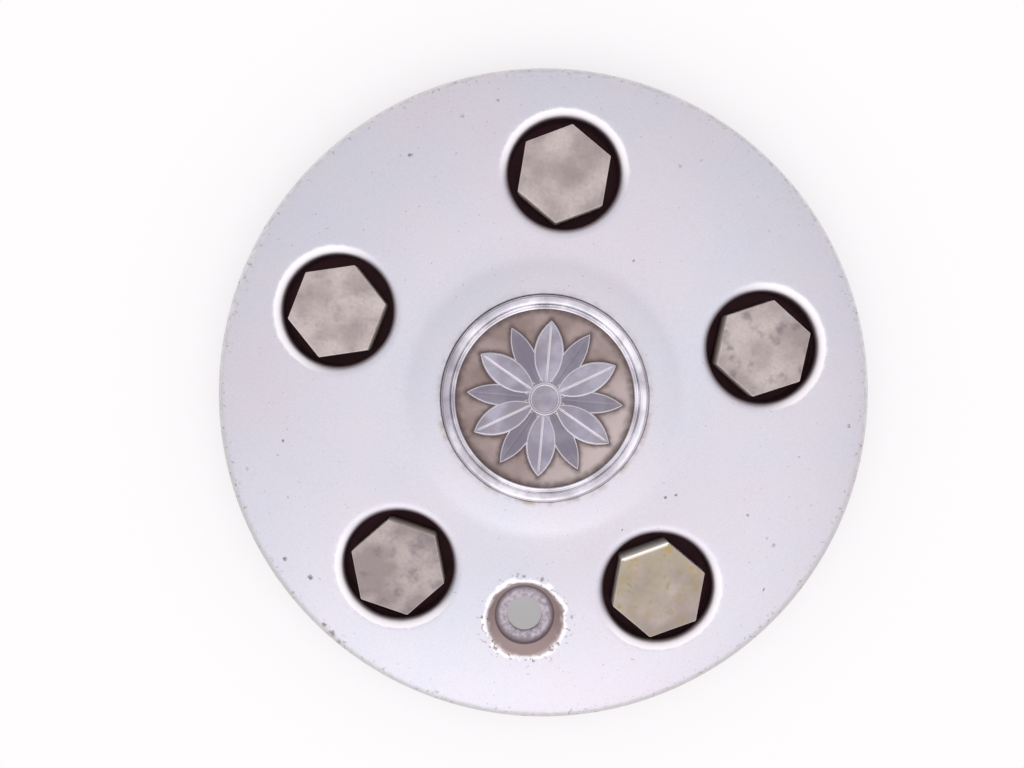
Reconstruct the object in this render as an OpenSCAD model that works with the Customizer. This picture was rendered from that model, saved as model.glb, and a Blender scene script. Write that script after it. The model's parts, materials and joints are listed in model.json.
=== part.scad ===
// A wheel centre cap: a round moulded cover, a round badge in its boss, and five bolt caps
// that turn in their wells. It lies on its back with its face up. The origin is the middle of
// the plane that it rests on, which is where it meets the wheel, and +Z points out of the face.

/* [Cover] */
// Outside diameter of the cover
cover_d = 174.2; // [168:0.2:184]
// Height of the face's highest circle above the rest plane
crest_h = 20; // [18:0.2:24]
// Wall thickness of the cover
wall = 2.4; // [1.8:0.1:3]
// Depth of the outer skirt below the edge of the rim
skirt_h = 7.5; // [4:0.5:9]
// Rounding of the rim's outer edge
rim_round = 2.6; // [1.6:0.1:4]

/* [Face curve] */
// Radius of the face's highest circle
crest_r = 50; // [48:0.5:54]
// Slope of the face where the rim's rounding starts, in degrees
rim_slope = 15; // [8:0.5:20]
// Radius of the valley round the boss
valley_r = 38; // [37:0.5:42]
// Steepest slope between the valley and the crest, in degrees
valley_slope = 2.3; // [1:0.1:5]
// Radius where the boss falls away most steeply
boss_steep_r = 35; // [33:0.5:36]
// That steepest slope, in degrees
boss_slope = 13; // [8:0.5:20]
// Slope of the boss at the badge's edge, in degrees
boss_edge_slope = 5; // [2:0.5:7]

/* [Wells] */
// Diameter of the circle that the wheel bolts stand on
bolt_circle_d = 118; // [114:0.5:120]
// Bore of each well
well_d = 29; // [28:0.2:30]
// Radius of the rounding between the face and the bore
lip_round = 3.2; // [2.4:0.1:3.6]
// Angle of the lip where it runs out into the face, in degrees
lip_angle = 30; // [20:1:40]
// Wall thickness of the sleeve behind each well
sleeve_wall = 1.8; // [1.4:0.1:2.4]
// Width of the slots that let the sleeve spring
slot_w = 2.6; // [1.6:0.2:4]
// Height of those slots above the rest plane
slot_h = 9; // [6:0.5:9]

/* [Puller hole] */
// Mouth diameter of the cup that the puller hook goes into
puller_mouth_d = 19.6; // [18:0.2:22]
// Diameter of the cup's floor
puller_floor_d = 16.2; // [14:0.2:17]
// Depth of the cup
puller_depth = 5.8; // [4:0.2:7]
// Diameter of the hole through the cup's floor
puller_hole_d = 9.4; // [7:0.2:11]
// Thickness of the cup's floor and wall
puller_wall = 1.8; // [1.4:0.1:2.4]

/* [Bolt caps] */
// Width across the flats of a bolt cap
cap_flats = 22.4; // [21.8:0.1:23.2]
// Width across the flats of the wheel bolt's head that it grips
bolt_head_flats = 19; // [17:0.5:19.5]
// Clearance between the socket's flats and the bolt head, in all
socket_play = 0.3; // [0.1:0.05:0.5]
// Height of a bolt cap above its flange
cap_crown_h = 8.7; // [7:0.1:9.5]
// How far a bolt cap stands above the mouth of its well
cap_proud = 0; // [-1:0.1:1]
// Thickness of a bolt cap's top
cap_top_t = 2; // [1.4:0.1:3]
// Thickness of a bolt cap's flange
flange_t = 1.8; // [1.2:0.1:2.4]
// How far the flange reaches past the bore of the well, on each side
flange_overlap = 1.6; // [1.2:0.1:2]
// Clearance round the flange
flange_play = 0.7; // [0.6:0.05:0.9]
// Clearance above and below the flange
flange_gap = 0.3; // [0.2:0.05:0.5]
// How far each bolt cap has settled towards the bottom of its well
cap_drift = 0.3; // [0:0.05:0.3]
// Height of a bolt cap's lower end above the rest plane
cap_foot_h = 1; // [0.5:0.1:2]
// Turn of bolt cap 1, at the top, in degrees
cap_turn_1 = 25.4; // [0:0.1:60]
// Turn of bolt cap 2, at the left
cap_turn_2 = 13.3; // [0:0.1:60]
// Turn of bolt cap 3, at the lower left
cap_turn_3 = 45.8; // [0:0.1:60]
// Turn of bolt cap 4, at the lower right
cap_turn_4 = 24.9; // [0:0.1:60]
// Turn of bolt cap 5, at the right
cap_turn_5 = 23; // [0:0.1:60]

/* [Snap nubs] */
// How far each nub reaches under the flange
nub_overlap = 0.8; // [0.6:0.1:1.2]
// Height of a nub
nub_h = 1.6; // [1:0.1:2.2]
// Part of the circle that a nub covers, in degrees
nub_arc = 24; // [12:1:40]

/* [Badge] */
// Diameter of the badge
badge_d = 53.8; // [50:0.2:55]
// Clearance round the badge
badge_play = 0.15; // [0.05:0.05:0.3]
// Depth of the badge's seat in the boss
badge_sink = 1.8; // [1.2:0.1:2.6]
// Thickness of the adhesive pad under the badge
pad_t = 0.8; // [0.5:0.1:1.2]
// How far the pad stays inside the badge's edge
pad_inset = 3.9; // [2.5:0.1:7]
// Thickness of the badge's plate
plate_t = 1.4; // [1:0.1:2]
// Width of the raised ring
ring_w = 2.7; // [2:0.1:3.6]
// Height of the ring above the field
ring_h = 1.9; // [1.2:0.1:2.6]
// Radius of the fine bead inside the ring
bead_r = 0.35; // [0.25:0.05:0.5]
// Width of the groove between the ring and the bead
bead_groove = 0.35; // [0.2:0.05:0.6]

/* [Rosette on the badge] */
// Number of front leaves, with as many behind them
leaf_count = 6; // [5:1:8]
// Gap between the leaves' tips and the bead
leaf_gap = 2.75; // [2:0.05:5]
// Radius where the leaves start
leaf_root_r = 3; // [2:0.2:4]
// Width of a front leaf
leaf_w = 7.8; // [5:0.2:9]
// Height of a front leaf above the field
leaf_h = 1; // [0.6:0.1:1.4]
// Width of a leaf behind
back_leaf_w = 5.6; // [4:0.2:7]
// Height of a leaf behind above the field
back_leaf_h = 0.6; // [0.3:0.1:0.9]
// Diameter of the domed button in the middle
button_d = 8.6; // [6:0.2:10]
// Height of the button above the field
button_h = 1.7; // [1:0.1:2]

/* [Back] */
// Thickness of the ribs and of the ring behind the boss
rib_t = 1.6; // [1.2:0.1:2.4]
// Height of the ribs' lower edge above the rest plane
rib_z = 9; // [7:0.5:11]
// Height of the hub ring's lower edge above the rest plane
hub_ring_z = 5; // [3:0.5:9]

/* [Hidden] */
$fn = 96;
cut = 1;  // how far a cutter reaches past what it cuts
bolt_count = 5;
bolt_r = bolt_circle_d / 2;
cover_r = cover_d / 2;
top_angle = 90;
bolt_step = 360 / bolt_count;
puller_angle = top_angle + bolt_step * bolt_count / 2;
cap_turns = [cap_turn_1, cap_turn_2, cap_turn_3, cap_turn_4, cap_turn_5];

// The face is a chain of arcs between stations: the radius, and the face's slope there.
seat_r = badge_d / 2 + badge_play;
edge_r = cover_r - rim_round * (1 - sin(rim_slope));
stations = [
    [seat_r, -boss_edge_slope],
    [boss_steep_r, -boss_slope],
    [valley_r, 0],
    [(valley_r + crest_r) / 2, valley_slope],
    [crest_r, 0],
    [edge_r, -rim_slope]
];
crest_station = 4;
arc_steps = 5;
nearest = 0.05;  // a point of the face that lies closer than this to an end is left out

// Rise over x of an arc whose slope turns from a to b over a run.
function arc_rise(x, run, a, b) =
    let (radius = run / (sin(b) - sin(a)), slope = asin(sin(a) + x / radius))
    radius * (cos(a) - cos(slope));
// Rise of the face from station i to radius r.
function climb(r, i) =
    let (from = stations[i], to = stations[i + 1], run = to[0] - from[0])
    r <= to[0] || i == len(stations) - 2
        ? arc_rise(r - from[0], run, from[1], to[1])
        : arc_rise(run, run, from[1], to[1]) + climb(r, i + 1);
seat_edge_h = crest_h - climb(stations[crest_station][0], 0);
function face_z(r) = seat_edge_h + climb(r, 0);
// Radii of the face's points from one radius to another, with the stations between them.
function face_radii(from, to) = [
    for (i = [0:len(stations) - 2])
        for (k = [0:arc_steps - 1])
            let (r = stations[i][0] + (stations[i + 1][0] - stations[i][0]) * k / arc_steps)
            if (r > from + nearest && r < to - nearest) r
];
function line_at(from, to, depth) = [
    for (r = concat([from], face_radii(from, to), [to])) [r, face_z(r) - depth]
];
function reversed(points) = [for (i = [len(points) - 1:-1:0]) points[i]];

// The rim
rim_z = face_z(edge_r) - rim_round * cos(rim_slope);
skirt_z = rim_z - skirt_h;
rim_arc = [
    for (k = [1:arc_steps])
        let (a = (90 - rim_slope) * (1 - k / arc_steps))
        [cover_r - rim_round + rim_round * cos(a), rim_z + rim_round * sin(a)]
];

// The badge's seat, and the plate under it
seat_z = face_z(seat_r) - badge_sink;
plate_under_z = seat_z - wall;
plate_edge_r = seat_r + wall;
hub_ring_r = plate_edge_r;

// The mouth of a well: the mean level and the tilt of the face round it.
well_r = well_d / 2;
lip_drop = lip_round * cos(lip_angle);
lip_reach = lip_round * (1 - sin(lip_angle));
lip_spread = 0.85;  // how wide the mouth opens past the bore, over the lip's rounding
mouth_r = well_r + lip_round * lip_spread;
mouth_in_z = face_z(bolt_r - mouth_r);
mouth_out_z = face_z(bolt_r + mouth_r);
mouth_side_z = face_z(sqrt(bolt_r * bolt_r + mouth_r * mouth_r));
mouth_tilt = atan((mouth_in_z - mouth_out_z) / (2 * mouth_r));
mouth_z = (mouth_in_z + mouth_out_z) / 4 + mouth_side_z / 2;
lip_base_z = mouth_z - lip_drop - (mouth_r - well_r - lip_reach) * tan(lip_angle);

// Bolt caps and the sleeves that hold them
cap_top_z = mouth_z + cap_proud;
flange_top_z = cap_top_z - cap_crown_h;
flange_bottom_z = flange_top_z - flange_t;
flange_r = well_r + flange_overlap;
sleeve_r = flange_r + flange_play;
sleeve_out_r = sleeve_r + sleeve_wall;
shoulder_z = flange_top_z + flange_gap;
nub_top_z = flange_bottom_z - flange_gap;
nub_r = flange_r - nub_overlap;
nub_count = 4;
hex = 6;
cap_corner_r = cap_flats / 2 / cos(180 / hex);
socket_flats = bolt_head_flats + socket_play;
socket_corner_r = socket_flats / 2 / cos(180 / hex);
grip_bite = 0.05;  // how far each grip rib reaches into the bolt head's space
grip_r = 0.6;
grip_place = bolt_head_flats / 2 - grip_bite + grip_r;

// The puller hole's cup
puller_top_z = face_z(bolt_r);
puller_floor_z = puller_top_z - puller_depth;
puller_out_r = puller_mouth_d / 2 + puller_wall;
puller_lip = 1.2;  // rounding of the cup's mouth

// The badge, from its pad up
plate_z = seat_z + pad_t;
field_z = plate_z + plate_t;
ring_r = badge_d / 2 - ring_w / 2;
ring_crest_r = ring_w / 2;
bead_place = badge_d / 2 - ring_w - bead_groove - bead_r;
bead_z = field_z + ring_h - 2 * bead_r;
leaf_tip_r = bead_place - bead_r - leaf_gap;

module at_bolt(i) {
    rotate(top_angle + i * bolt_step) translate([bolt_r, 0, 0]) children();
}

module at_puller() {
    rotate(puller_angle) translate([bolt_r, 0, 0]) children();
}

// The cover without its wells: face, rim, skirt and the badge's seat
module shell() {
    rotate_extrude() polygon(concat(
        [[0, seat_z], [seat_r, seat_z]],
        line_at(seat_r, edge_r, 0),
        rim_arc,
        [[cover_r, skirt_z], [cover_r - wall, skirt_z]],
        reversed(line_at(plate_edge_r, cover_r - wall, wall)),
        [[plate_edge_r, plate_under_z], [0, plate_under_z]]
    ));
}

// A round boss behind the face, from a height up to the middle of the cover's wall, whose top
// is tilted as the face is there
module rear_boss(from, top, radius) {
    difference() {
        translate([0, 0, from]) cylinder(h = crest_h, r = radius);
        translate([0, 0, top - wall / 2]) rotate([0, mouth_tilt, 0])
            translate([-bolt_r, -bolt_r, 0]) cube([2 * bolt_r, 2 * bolt_r, 2 * crest_h]);
    }
}

// A straight rib from one radius to another, under the face
module rib(angle, from, to) {
    rotate(angle) translate([0, rib_t / 2, 0]) rotate([90, 0, 0])
        linear_extrude(rib_t) polygon(concat(
            [[from, rib_z]],
            line_at(from, to, wall / 2),
            [[to, rib_z]]
        ));
}

module ribs() {
    from = hub_ring_r - rib_t / 2;
    to = cover_r - wall / 2;
    for (i = [0:bolt_count - 1]) {
        bolt_angle = top_angle + i * bolt_step;
        between = bolt_angle + bolt_step / 2;
        rib(bolt_angle, from, bolt_r - sleeve_out_r + sleeve_wall / 2);
        rib(bolt_angle, bolt_r + sleeve_out_r - sleeve_wall / 2, to);
        if (between == puller_angle) {
            rib(between, from, bolt_r - puller_out_r + puller_wall / 2);
            rib(between, bolt_r + puller_out_r - puller_wall / 2, to);
        } else {
            rib(between, from, to);
        }
    }
}

module hub_ring() {
    difference() {
        translate([0, 0, hub_ring_z]) cylinder(h = seat_z - wall / 2 - hub_ring_z, r = hub_ring_r);
        translate([0, 0, hub_ring_z - cut])
            cylinder(h = plate_under_z - hub_ring_z + cut, r = hub_ring_r - rib_t);
    }
}

// What one well takes out of the cover: the tilted lip, the bore, and the flange's room
module well_cut() {
    lip_out = well_r + lip_reach;
    run_out = 4;
    translate([0, 0, lip_base_z]) rotate([0, mouth_tilt, 0]) rotate_extrude() difference() {
        polygon([
            [0, 0],
            [well_r, 0],
            [lip_out, lip_drop],
            [lip_out + run_out, lip_drop + run_out * tan(lip_angle)],
            [0, lip_drop + run_out * tan(lip_angle)]
        ]);
        translate([well_r + lip_round, 0]) circle(lip_round);
    }
    translate([0, 0, shoulder_z]) cylinder(h = crest_h, r = well_r);
    translate([0, 0, -cut]) cylinder(h = shoulder_z + cut, r = sleeve_r);
    for (k = [0:nub_count / 2 - 1])
        rotate(k * 360 / nub_count + 180 / nub_count)
            translate([-sleeve_out_r - cut, -slot_w / 2, -cut])
                cube([2 * (sleeve_out_r + cut), slot_w, slot_h + cut]);
}

// The nubs that keep a bolt cap's flange in its sleeve
module snap_nubs() {
    for (k = [0:nub_count - 1])
        rotate(k * 360 / nub_count - nub_arc / 2) rotate_extrude(angle = nub_arc) polygon([
            [nub_r, nub_top_z],
            [sleeve_r + sleeve_wall / 2, nub_top_z],
            [sleeve_r + sleeve_wall / 2, nub_top_z - nub_h],
            [sleeve_r, nub_top_z - nub_h],
            [nub_r, nub_top_z - nub_h / 2]
        ]);
}

module puller_cut() {
    mouth = puller_mouth_d / 2;
    top = puller_top_z + cut;
    spread = (mouth - puller_floor_d / 2) / puller_depth;
    translate([0, 0, puller_floor_z])
        cylinder(h = puller_depth + cut, r1 = puller_floor_d / 2, r2 = mouth + spread * cut);
    translate([0, 0, puller_top_z - puller_lip])
        cylinder(h = puller_lip + cut, r1 = mouth - spread * puller_lip, r2 = mouth + puller_lip + cut);
    translate([0, 0, -cut]) cylinder(h = top, r = puller_hole_d / 2);
}

module cover() {
    color([0.82, 0.81, 0.85]) union() {
        difference() {
            union() {
                shell();
                hub_ring();
                ribs();
                for (i = [0:bolt_count - 1]) at_bolt(i) rear_boss(0, mouth_z, sleeve_out_r);
                at_puller() rear_boss(puller_floor_z - puller_wall, puller_top_z, puller_out_r);
            }
            for (i = [0:bolt_count - 1]) at_bolt(i) well_cut();
            at_puller() puller_cut();
        }
        for (i = [0:bolt_count - 1]) at_bolt(i) snap_nubs();
    }
}

// A bolt cap: a hexagonal crown on a round flange, with a socket for the bolt's head
module bolt_cap(i) {
    color([0.68, 0.63, 0.61]) translate([0, -cap_drift, 0]) at_bolt(i)
        rotate(cap_turns[i] - top_angle - i * bolt_step) {
            difference() {
                union() {
                    translate([0, 0, cap_foot_h])
                        cylinder(h = cap_top_z - cap_foot_h, r = cap_corner_r, $fn = hex);
                    translate([0, 0, flange_bottom_z]) cylinder(h = flange_t, r = flange_r);
                }
                translate([0, 0, cap_foot_h - cut])
                    cylinder(h = cap_top_z - cap_top_t - cap_foot_h + cut, r = socket_corner_r, $fn = hex);
            }
            for (k = [0:hex / 2 - 1])
                rotate(180 / hex + k * 720 / hex) translate([grip_place, 0, cap_foot_h + cut])
                    cylinder(h = cap_top_z - cap_top_t / 2 - cap_foot_h - cut, r = grip_r);
        }
}

// A leaf of the rosette: the overlap of two circles, along +X
module leaf(root, tip, width) {
    half = (tip - root) / 2;
    round_r = (half * half + width * width / 4) / width;
    intersection() {
        translate([root + half, round_r - width / 2]) circle(round_r);
        translate([root + half, width / 2 - round_r]) circle(round_r);
    }
}

module rosette() {
    dome_r = (button_d * button_d / 4 + button_h * button_h) / (2 * button_h);
    for (k = [0:leaf_count - 1]) {
        rotate(90 + (k + 0.5) * 360 / leaf_count) linear_extrude(back_leaf_h)
            leaf(leaf_root_r, leaf_tip_r, back_leaf_w);
        rotate(90 + k * 360 / leaf_count) linear_extrude(leaf_h)
            leaf(leaf_root_r, leaf_tip_r, leaf_w);
    }
    intersection() {
        translate([0, 0, button_h - dome_r]) sphere(dome_r);
        cylinder(h = button_h, r = button_d / 2);
    }
}

module badge() {
    color([0.83, 0.82, 0.84]) union() {
        translate([0, 0, plate_z]) cylinder(h = plate_t, r = badge_d / 2);
        rotate_extrude() translate([ring_r, field_z + ring_h - ring_crest_r]) circle(ring_crest_r);
        translate([0, 0, plate_z]) difference() {
            cylinder(h = plate_t + ring_h - ring_crest_r, r = badge_d / 2);
            translate([0, 0, plate_t]) cylinder(h = ring_h, r = badge_d / 2 - ring_w);
        }
        rotate_extrude() translate([bead_place, bead_z]) circle(bead_r);
        translate([0, 0, plate_z]) difference() {
            cylinder(h = bead_z - plate_z, r = badge_d / 2 - ring_w / 2);
            translate([0, 0, plate_t]) cylinder(h = ring_h, r = bead_place - bead_r);
        }
        translate([0, 0, field_z]) rosette();
    }
}

module badge_pad() {
    color([0.25, 0.25, 0.26]) translate([0, 0, seat_z]) cylinder(h = pad_t, r = badge_d / 2 - pad_inset);
}

cover();
badge();
badge_pad();
bolt_cap(0);  // bolt_cap_1
bolt_cap(1);  // bolt_cap_2
bolt_cap(2);  // bolt_cap_3
bolt_cap(3);  // bolt_cap_4
bolt_cap(4);  // bolt_cap_5
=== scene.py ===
# %% [markdown]
# This is the centre cap of a van's wheel: a round silver cover with five wells, a hexagonal cap
# that turns in each well, a plated badge in the middle, and a cup for the hook that pulls the
# cover off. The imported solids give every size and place. What is made here is what they leave
# out: lips that run softly into the face, worn paint, stained plastic and polished plating.
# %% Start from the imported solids
import json
import bmesh
import bpy
import numpy as np
from mathutils import Matrix, Vector

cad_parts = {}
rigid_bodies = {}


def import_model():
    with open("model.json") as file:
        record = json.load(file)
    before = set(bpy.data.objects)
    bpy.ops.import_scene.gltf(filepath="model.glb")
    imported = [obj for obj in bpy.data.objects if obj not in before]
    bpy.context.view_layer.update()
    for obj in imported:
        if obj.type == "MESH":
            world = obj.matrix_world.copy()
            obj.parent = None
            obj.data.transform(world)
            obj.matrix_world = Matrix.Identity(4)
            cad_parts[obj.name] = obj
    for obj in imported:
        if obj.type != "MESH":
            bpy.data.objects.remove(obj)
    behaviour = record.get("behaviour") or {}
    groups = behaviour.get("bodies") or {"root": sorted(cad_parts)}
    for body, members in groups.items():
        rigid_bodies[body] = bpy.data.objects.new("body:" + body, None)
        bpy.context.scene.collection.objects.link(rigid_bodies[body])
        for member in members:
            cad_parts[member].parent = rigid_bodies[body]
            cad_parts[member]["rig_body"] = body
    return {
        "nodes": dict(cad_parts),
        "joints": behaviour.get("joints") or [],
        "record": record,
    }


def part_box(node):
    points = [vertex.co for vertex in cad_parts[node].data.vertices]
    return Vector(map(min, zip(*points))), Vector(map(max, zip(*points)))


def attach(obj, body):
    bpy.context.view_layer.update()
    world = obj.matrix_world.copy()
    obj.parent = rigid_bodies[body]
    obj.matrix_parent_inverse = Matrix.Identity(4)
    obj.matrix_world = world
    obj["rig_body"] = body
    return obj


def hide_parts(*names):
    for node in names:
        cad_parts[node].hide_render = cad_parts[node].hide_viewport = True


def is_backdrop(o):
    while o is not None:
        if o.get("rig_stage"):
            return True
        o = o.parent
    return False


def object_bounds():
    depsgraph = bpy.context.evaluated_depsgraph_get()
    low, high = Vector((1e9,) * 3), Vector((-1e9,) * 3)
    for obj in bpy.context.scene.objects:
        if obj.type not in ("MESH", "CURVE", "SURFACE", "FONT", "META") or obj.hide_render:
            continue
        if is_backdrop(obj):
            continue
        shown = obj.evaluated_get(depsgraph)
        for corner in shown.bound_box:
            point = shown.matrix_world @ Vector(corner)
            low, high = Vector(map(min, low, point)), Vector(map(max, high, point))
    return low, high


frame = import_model()
bounds0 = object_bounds()
print("solids:", ", ".join(sorted(frame["nodes"])))

# %% [markdown]
# Sizes are in millimetres, as on a drawing, and one factor turns them to Blender's metres at
# the very end. What the solids already know is read from their boxes and from the record, so
# that the dressed pieces stay exactly where the solids are.
# %% Sizes from the solids
MM = 0.001
cover_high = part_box("cover")[1]
badge_low, badge_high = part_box("badge")
cap_low, cap_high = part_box("bolt_cap_1")
mounts = {m["name"]: m for m in frame["record"]["mounts"]}
COVER_R = min(cover_high.x, cover_high.y) / MM
FACE_TOP = cover_high.z / MM
BADGE_R = min(badge_high.x, badge_high.y) / MM
BADGE_BACK = badge_low.z / MM
BADGE_TOP = badge_high.z / MM
CAP_TOP = cap_high.z / MM
CAP_FOOT = cap_low.z / MM
FLANGE_R = (cap_high.x - cap_low.x) / 2 / MM
BOLT_R = mounts["bolt_heads"]["dims"]["pcd_mm"] / 2
PULLER_HOLE_R = mounts["puller_hole"]["dims"]["r_mm"]
BOLT_ANGLES = (90, 162, 234, 306, 18)
PULLER_ANGLE = 270
print(f"cover {COVER_R:.2f} mm in radius, face {FACE_TOP:.2f} mm high, bolts on {BOLT_R:.1f} mm")

# %% [markdown]
# The face isn't a dome or a plane. It falls away from the badge, turns up in a shallow valley,
# crests inside the bolts' circle and drops to the rim. A designer draws such a face as arcs that meet
# without a kink, so only a few stations with their slopes are needed. On an arc the sine of the
# slope grows evenly, which makes the whole curve one interpolation and one running sum.
# %% The face's curve
BADGE_PLAY = 0.15
VALLEY_R, CREST_R = 38.0, 50.0
STATIONS = np.array([  # radius, and slope in degrees
    (BADGE_R + BADGE_PLAY, -5.0),
    (35.0, -13.0),
    (VALLEY_R, 0.0),
    (44.0, 2.3),
    (CREST_R, 0.0),
    (COVER_R - 1.93, -15.0),
])
CURVE_R = np.linspace(STATIONS[0, 0], STATIONS[-1, 0], 4000)
CURVE_SINE = np.interp(CURVE_R, STATIONS[:, 0], np.sin(np.radians(STATIONS[:, 1])))
CURVE_SLOPE = CURVE_SINE / np.sqrt(1 - CURVE_SINE**2)
CURVE_RISE = np.cumsum(CURVE_SLOPE) * (CURVE_R[1] - CURVE_R[0])


def face_height(radius):
    """Height of the face: the slope times the step, summed from the badge out to the radius."""
    return FACE_TOP + np.interp(radius, CURVE_R, CURVE_RISE)


print(f"face: {face_height(VALLEY_R):.2f} mm in the valley, {face_height(CREST_R):.2f} at the crest")

# %% [markdown]
# Every piece here is a grid of points: rows one way, columns the other. A closed grid joins its
# last column to its first, as on a lathe. Several grids whose edges coincide become one skin
# when their doubled points are merged, and then all the faces can be turned outwards at once.
# Edges sharper than a few dozen degrees stay crisp, and the rest is shaded smooth. Modelling by
# hand with subdivision would look much the same, but here each size can be checked.
# %% Grids into meshes
MERGE = 1e-6
SHARP = 32


def quads(rows, columns, closed):
    """Corner numbers of a grid's faces: each point with its right, diagonal and lower neighbours."""
    across = columns if closed else columns - 1
    i, j = np.meshgrid(np.arange(rows - 1), np.arange(across), indexing="ij")
    k = (j + 1) % columns
    here, below = i * columns, (i + 1) * columns
    return np.stack([here + j, here + k, below + k, below + j], -1).reshape(-1, 4)


def shade(mesh, sharp):
    """Smooth shading, with crisp edges where two faces meet at more than an angle in degrees."""
    mesh.polygons.foreach_set("use_smooth", np.ones(len(mesh.polygons), bool))
    mesh.set_sharp_from_angle(angle=np.radians(sharp))


def make_piece(name, grids, sharp=SHARP):
    """One mesh object out of several (points, closed) grids in millimetres, merged and outward."""
    starts = np.cumsum([0] + [points.shape[0] * points.shape[1] for points, closed in grids])
    faces = [quads(*points.shape[:2], closed) + start
             for (points, closed), start in zip(grids, starts)]
    places = np.concatenate([points.reshape(-1, 3) for points, closed in grids]) * MM
    mesh = bpy.data.meshes.new(name)
    mesh.from_pydata(places.tolist(), [], np.concatenate(faces).tolist())
    work = bmesh.new()
    work.from_mesh(mesh)
    bmesh.ops.remove_doubles(work, verts=work.verts, dist=MERGE)
    bmesh.ops.dissolve_degenerate(work, edges=work.edges, dist=MERGE)
    bmesh.ops.recalc_face_normals(work, faces=work.faces)
    work.to_mesh(mesh)
    work.free()
    shade(mesh, sharp)
    piece = bpy.data.objects.new(name, mesh)
    bpy.context.scene.collection.objects.link(piece)
    print(f"{name}: {len(mesh.vertices)} points, {len(mesh.polygons)} faces")
    return piece


def points_of(mesh):
    """A mesh's points in millimetres, as one array."""
    flat = np.empty(len(mesh.vertices) * 3, np.float32)
    mesh.vertices.foreach_get("co", flat)
    return flat.reshape(-1, 3).astype(float) / MM


def of_faces(mesh, measure):
    """Three numbers of each face, such as its centre or its normal, as one array."""
    flat = np.empty(len(mesh.polygons) * 3, np.float32)
    mesh.polygons.foreach_get(measure, flat)
    return flat.reshape(-1, 3)


def write_number(mesh, name, values):
    """Keeps one number for each point under a name that a material can read."""
    layer = mesh.attributes.new(name, "FLOAT", "POINT")
    layer.data.foreach_set("value", values.astype(np.float32))


# %% [markdown]
# Three small shapes do most of the drawing: a direction in the plan, an arc in a section, and a
# section carried round the middle. A Spin or a Screw would carry a section round as well, but a
# grid of points can be joined to its neighbours column by column.
# %% Directions, arcs and revolved sections
COLUMNS = 360


def heading(degrees):
    """Unit vector in the plan: the cosine and the sine of the angle."""
    a = np.radians(degrees)
    return np.stack([np.cos(a), np.sin(a)], -1)


def arc(centre, radius, first, last, steps):
    """Points of a circle's arc, between two angles: the centre plus the radius times a heading."""
    return np.array(centre) + radius * heading(np.linspace(first, last, steps + 1))


def revolve(section, columns=COLUMNS):
    """A section of (radius, height) points carried round the middle, one column a step."""
    way = heading(np.arange(columns) * 360 / columns)
    xy = section[:, None, :1] * way
    z = np.broadcast_to(section[:, 1:2], xy.shape[:2])
    return np.concatenate([xy, z[..., None]], -1)


# %% [markdown]
# The cover is moulded in one shot. Cutting six holes out of a disc would leave hard edges that
# are difficult to round where the face is curved. So the ring that holds the holes is laid out
# as six sectors, and each sector is a sheet of loops: the outermost loop is the sector's own
# outline, the innermost is the hole, and the loops between turn from one into the other. The
# same loops then run down the hole and back out under the face, so the wall closes by itself.
# %% The cover's own sizes
WALL = 2.4
INNER_R, OUTER_R = VALLEY_R, 80.0
SIDE_STEPS = 28
FACE_LOOPS = 12
UNDER_LOOPS = 7
WELL_R = 14.5
LIP_ROUND = 3.0
SHOULDER_Z = 10.671
SLEEVE_R = 16.8
SLEEVE_OUT_R = 18.6
PULLER_R = 9.6
PULLER_FLOOR_R = 8.1
PULLER_FLOOR_Z = 13.9
PULLER_WALL = 1.8
PULLER_ROUND = 1.5
PULLER_FILLET = 0.8
PULLER_EDGE = 0.3
WALL_FOOT_Z = SHOULDER_Z + 2.5
SECTORS = {  # first and last degree of the sector round each hole
    18: (-18, 54), 90: (54, 126), 162: (126, 198),
    234: (198, 255), 270: (255, 285), 306: (285, 342),
}


# %% Loops round a hole
def outline(first, last):
    """A sector's edge as one loop: along the inner arc, out, back along the outer arc, and in."""
    along = np.arange(first, last)
    out = np.linspace(INNER_R, OUTER_R, SIDE_STEPS + 1)[:, None]
    return np.concatenate([
        INNER_R * heading(along),
        out[:-1] * heading(last),
        OUTER_R * heading(along + 1)[::-1],
        out[:0:-1] * heading(first),
    ])


def around_hole(angle, lip, tube, back_r):
    """The cover round one hole. Each row keeps the directions of the outline's points, seen from
    the hole's axis, and gives them its own distance. Its height is the face's, less a drop, on
    the face, the lip and the underside, and is a level of its own down the tube."""
    axis = BOLT_R * heading(angle)
    away = outline(*SECTORS[angle]) - axis
    reach = np.linalg.norm(away, axis=1)
    toward = away / reach[:, None]
    inwards = np.linspace(0, 1, FACE_LOOPS, endpoint=False)[:, None]
    outwards = np.linspace(0, 1, UNDER_LOOPS)[:, None]
    face = reach + (lip[0, 0] - reach) * inwards
    under = back_r + (reach - back_r) * outwards
    level = np.ones_like(reach)
    distance = np.concatenate([face, lip[:, :1] * level, tube[:, :1] * level, under])
    value = np.concatenate([0 * inwards, lip[:, 1:], tube[:, 1:], 0 * outwards + WALL])
    fixed = np.zeros(len(distance), bool)
    fixed[len(face) + len(lip):len(face) + len(lip) + len(tube)] = True
    xy = axis + distance[..., None] * toward
    follow = face_height(np.hypot(xy[..., 0], xy[..., 1])) - value
    z = np.where(fixed[:, None], value, follow)
    return np.concatenate([xy, z[..., None]], -1)


def lip_of(radius, rounding, steps=9):
    """A quarter round at a hole's mouth, as (distance, drop): a circle's arc seen from the axis."""
    turn = np.radians(np.linspace(0, 90, steps))
    return np.stack([radius + rounding * (1 - np.sin(turn)), rounding * (1 - np.cos(turn))], -1)


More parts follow.
